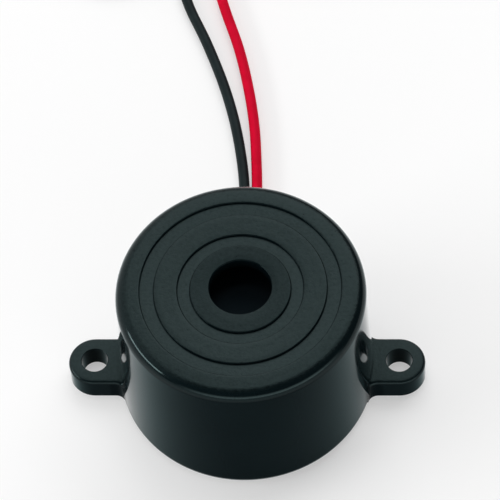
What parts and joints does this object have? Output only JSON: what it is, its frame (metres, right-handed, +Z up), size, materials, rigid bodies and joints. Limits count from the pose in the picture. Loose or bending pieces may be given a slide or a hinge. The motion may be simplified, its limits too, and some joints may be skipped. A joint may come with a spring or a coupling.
{
  "type": "piezo buzzer",
  "caption": "Round panel or base mounted piezo buzzer with a central sound hole, ring grooves, screw ears at the base and flying leads.",
  "frame": {"origin": "centre of the housing's base, on the plane it stands or is screwed on", "axes": "+X towards one screw ear, +Y towards the side where the leads leave, +Z up, out of the sound hole"},
  "size_m": [0.0489, 0.0903, 0.0195],
  "materials": {
    "housing_plastic": "fine satin front, glossy sides",
    "silicone": "cured silicone",
    "sealant": "cured black sealant",
    "brass_sheet": "rolled",
    "ceramic": "matte fired ceramic",
    "silver_layer": "fired silver, matte",
    "solder": "bright solder",
    "tinned_wire": "tinned copper",
    "copper": "bare copper",
    "enamelled_copper": "enamelled winding",
    "ferrite": "sintered ferrite",
    "board_laminate": "phenolic laminate",
    "epoxy_case": "moulded epoxy",
    "resistor_coat": "lacquered",
    "diode_glass": "tinted glass",
    "capacitor_coat": "dipped coating",
    "link_yellow": "thin insulation",
    "link_blue": "thin insulation",
    "link_black": "thin insulation",
    "red_insulation": "soft satin insulation",
    "black_insulation": "soft satin insulation",
    "tie_paper": "paper band"
  },
  "bodies": {
    "root": {"housing": "housing_plastic", "diaphragm_seal": "silicone", "diaphragm": "brass_sheet", "ceramic_disc": "ceramic", "main_electrode": "silver_layer", "feedback_electrode": "silver_layer", "element_solder": "solder", "main_link_wire": "link_yellow", "feedback_link_wire": "link_blue", "ground_link_wire": "link_black", "circuit_board": "board_laminate", "copper_tracks": "copper", "board_solder": "solder", "choke_core": "ferrite", "choke_winding": "enamelled_copper", "choke_pins": "tinned_wire", "transistor": "epoxy_case", "transistor_legs": "tinned_wire", "base_resistor": "resistor_coat", "base_resistor_wires": "tinned_wire", "damping_resistor": "resistor_coat", "damping_resistor_wires": "tinned_wire", "diode": "diode_glass", "diode_wires": "tinned_wire", "capacitor": "capacitor_coat", "capacitor_wires": "tinned_wire", "rear_cover": "housing_plastic", "exit_sealant": "sealant", "red_core": "tinned_wire", "black_core": "tinned_wire", "red_lead": "red_insulation", "black_lead": "black_insulation", "red_coil": "red_insulation", "black_coil": "black_insulation", "red_tie": "tie_paper", "black_tie": "tie_paper", "red_tinned_end": "tinned_wire", "black_tinned_end": "tinned_wire"}
  },
  "joints": []
}
